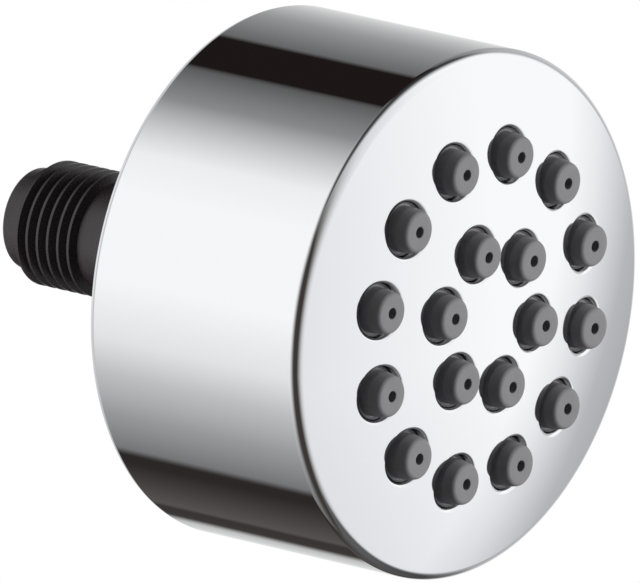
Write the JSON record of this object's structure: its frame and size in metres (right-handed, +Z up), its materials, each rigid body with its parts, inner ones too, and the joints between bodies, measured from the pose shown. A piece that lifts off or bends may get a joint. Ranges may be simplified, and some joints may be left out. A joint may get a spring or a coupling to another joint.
{
  "type": "shower body jet",
  "caption": "Round wall-mounted shower body jet with a domed chrome spray face, soft silicone nozzles and a threaded inlet nipple at the back.",
  "frame": {"origin": "on the body's axis in the plane of the housing's rear rim, where it meets the wall", "axes": "+Y along the nipple into the wall, the jets point along -Y, +Z up"},
  "size_m": [0.05, 0.0563, 0.05],
  "materials": {
    "chrome_plate": "polished chrome plate on brass",
    "grey_silicone": "moulded matt silicone",
    "white_acetal": "moulded satin acetal",
    "black_nylon": "moulded glass-filled nylon, slight gloss",
    "black_rubber": "matt rubber",
    "spring_steel": "stainless, as stamped"
  },
  "bodies": {
    "root": {"housing": "chrome_plate", "nozzle_mat": "grey_silicone", "distributor_plate": "white_acetal", "inlet_body": "black_nylon", "housing_seal": "black_rubber", "retaining_ring": "spring_steel", "flow_limiter_body": "white_acetal", "flow_limiter_ring": "black_rubber", "strainer_frame": "white_acetal", "strainer_mesh": "spring_steel"}
  },
  "joints": []
}
